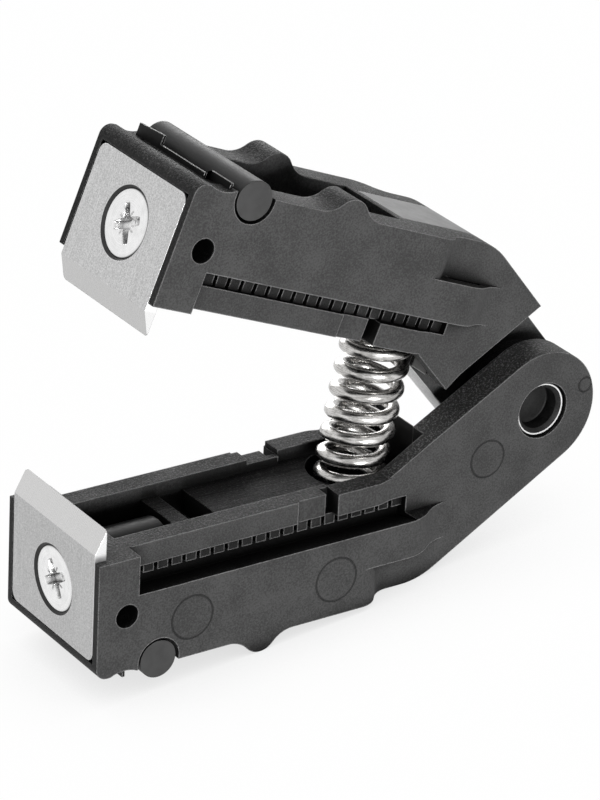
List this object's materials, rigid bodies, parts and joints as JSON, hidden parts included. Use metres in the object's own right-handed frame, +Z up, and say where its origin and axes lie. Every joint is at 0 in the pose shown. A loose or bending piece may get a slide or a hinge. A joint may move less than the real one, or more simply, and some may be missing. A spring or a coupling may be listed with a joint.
{
  "type": "wire stripper blade block",
  "caption": "Blade block of an automatic wire stripper: hinged black plastic jaws with stripping blades, cross rollers, steel cutters and a return spring, resting open.",
  "frame": {"origin": "Centre of the bounding box in X and Y, at the height of the surface it rests on.", "axes": "+X runs from the blade end towards the hinge, +Y across the jaws, +Z up as it rests on its two lobes and rounded heel."},
  "size_m": [0.0616, 0.017, 0.0523],
  "materials": {
    "black_plastic": "satin",
    "blade_steel": "satin",
    "screw_steel": "gloss",
    "bush_steel": "satin",
    "roller_steel": "satin",
    "clip_steel": "satin",
    "cutter_steel": "satin",
    "pin_steel": "satin",
    "spring_steel": "satin"
  },
  "bodies": {
    "lower_body": {"lower_jaw": "black_plastic", "lower_blade": "blade_steel", "lower_screw": "screw_steel", "lower_bush": "bush_steel", "lower_clip": "clip_steel", "lower_cutter": "cutter_steel", "pivot_pin": "pin_steel", "return_spring": "spring_steel"},
    "upper_body": {"upper_jaw": "black_plastic", "upper_blade": "blade_steel", "upper_screw": "screw_steel", "upper_bush": "bush_steel", "upper_clip": "clip_steel", "upper_cutter": "cutter_steel"},
    "lower_roller_body": {"lower_roller": "roller_steel"},
    "upper_roller_body": {"upper_roller": "roller_steel"}
  },
  "joints": [
    {"name": "jaw_hinge", "type": "hinge", "parent": "lower_body", "child": "upper_body", "pos_m": [0.02434, 0, 0.01422], "axis": [0, -1, 0], "range_deg": [0, 21.5], "stiffness_Nm_per_rad": 0.45, "springref_deg": -20.05, "deforming": ["return_spring"]},
    {"name": "lower_roller_spin", "type": "hinge", "parent": "lower_body", "child": "lower_roller_body", "pos_m": [-0.0238, 0, 0.00341], "axis": [0, 1, 0], "continuous": true},
    {"name": "upper_roller_spin", "type": "hinge", "parent": "upper_body", "child": "upper_roller_body", "pos_m": [-0.01065, 0, 0.04901], "axis": [0, 1, 0], "continuous": true}
  ]
}
